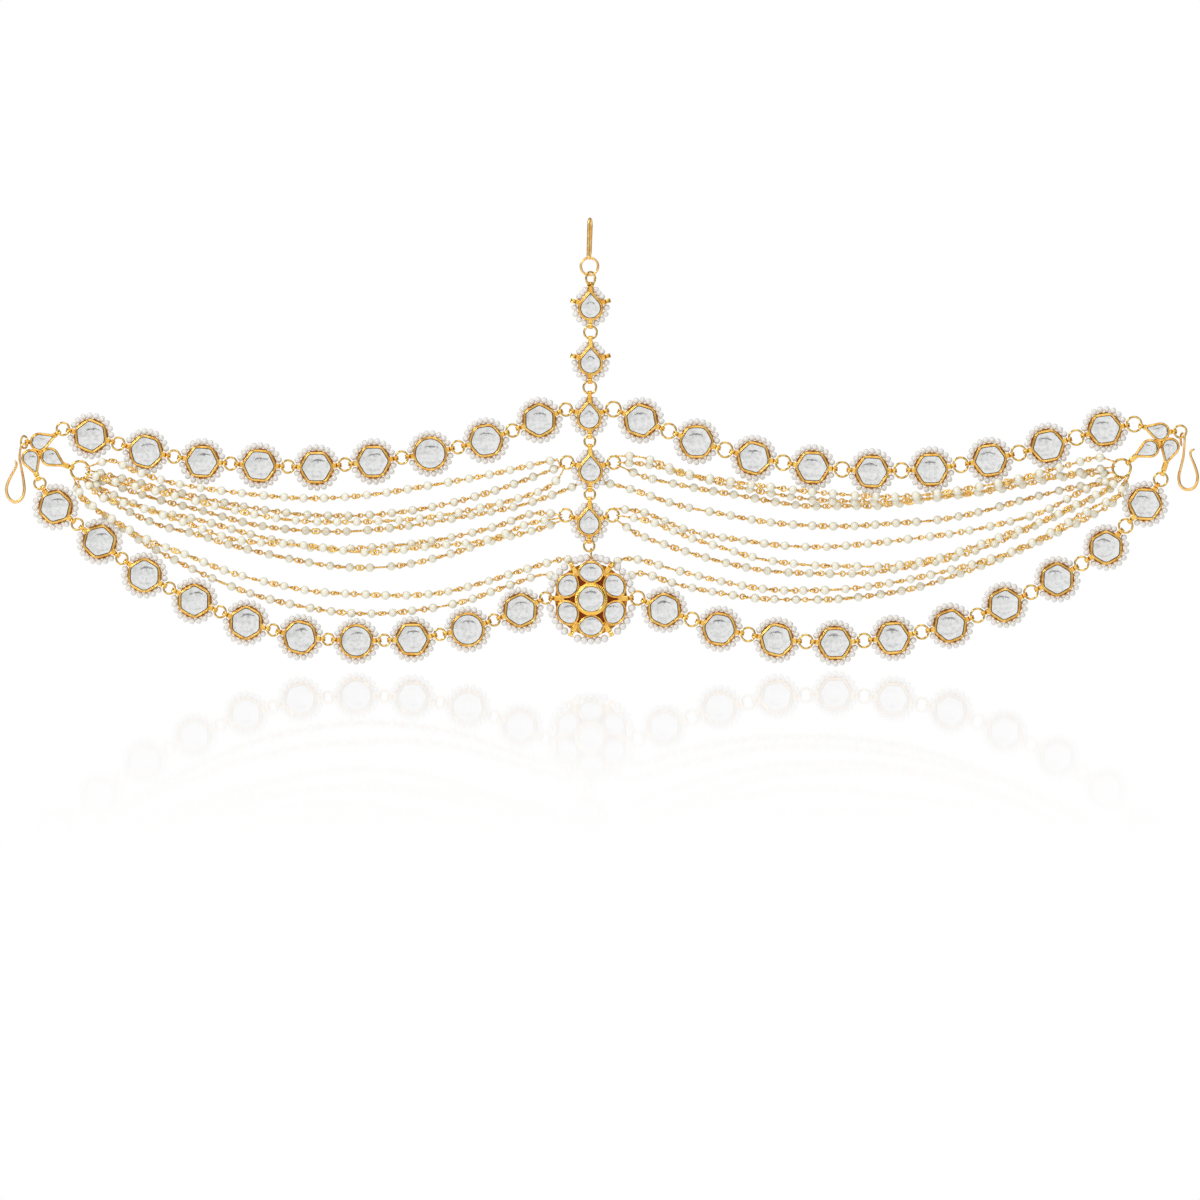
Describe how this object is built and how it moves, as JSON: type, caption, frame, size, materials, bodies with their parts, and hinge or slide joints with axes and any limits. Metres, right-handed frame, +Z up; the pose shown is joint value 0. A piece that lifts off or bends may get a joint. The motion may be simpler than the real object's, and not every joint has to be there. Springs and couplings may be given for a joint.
{
  "type": "matha patti",
  "caption": "Head ornament of gold-set cut stones edged with seed pearls, with a central drop row, a flower pendant, side trefoils, hooks and pearl chains.",
  "frame": {"origin": "inside of the bend of the hair hook, the point that the ornament hangs from", "axes": "-Y is the front, +Z is up, and +X runs along the strands toward the picture's right"},
  "size_m": [0.4296, 0.0086, 0.1615],
  "materials": {
    "gold_plate": "polished gold plate",
    "cut_glass": "foil-backed faceted glass",
    "seed_pearl": "small white pearls",
    "chain_pearl": "cream pearls with a satin lustre"
  },
  "bodies": {
    "root": {"hair_hook": "gold_plate", "left_side_hook": "gold_plate", "right_side_hook": "gold_plate", "centre_rings": "gold_plate", "drop_setting_1": "gold_plate", "drop_setting_2": "gold_plate", "drop_setting_3": "gold_plate", "drop_setting_4": "gold_plate", "drop_setting_5": "gold_plate", "drop_stone_1": "cut_glass", "drop_stone_2": "cut_glass", "drop_stone_3": "cut_glass", "drop_stone_4": "cut_glass", "drop_stone_5": "cut_glass", "drop_halos": "seed_pearl", "flower_setting": "gold_plate", "flower_centre_stone": "cut_glass", "flower_petal_stones": "cut_glass", "flower_halo": "seed_pearl", "left_trefoil": "gold_plate", "right_trefoil": "gold_plate", "left_trefoil_stones": "cut_glass", "right_trefoil_stones": "cut_glass", "upper_left_settings": "gold_plate", "upper_left_stones": "cut_glass", "upper_left_halos": "seed_pearl", "upper_left_rings": "gold_plate", "upper_right_settings": "gold_plate", "upper_right_stones": "cut_glass", "upper_right_halos": "seed_pearl", "upper_right_rings": "gold_plate", "lower_left_settings": "gold_plate", "lower_left_stones": "cut_glass", "lower_left_halos": "seed_pearl", "lower_left_rings": "gold_plate", "lower_right_settings": "gold_plate", "lower_right_stones": "cut_glass", "lower_right_halos": "seed_pearl", "lower_right_rings": "gold_plate", "left_chain_1": "chain_pearl", "left_chain_2": "chain_pearl", "left_chain_3": "chain_pearl", "left_chain_4": "chain_pearl", "left_chain_5": "chain_pearl", "left_chain_6": "chain_pearl", "left_chain_7": "chain_pearl", "left_chain_8": "chain_pearl", "left_chain_9": "chain_pearl", "right_chain_1": "chain_pearl", "right_chain_2": "chain_pearl", "right_chain_3": "chain_pearl", "right_chain_4": "chain_pearl", "right_chain_5": "chain_pearl", "right_chain_6": "chain_pearl", "right_chain_7": "chain_pearl", "right_chain_8": "chain_pearl", "right_chain_9": "chain_pearl"}
  },
  "joints": []
}
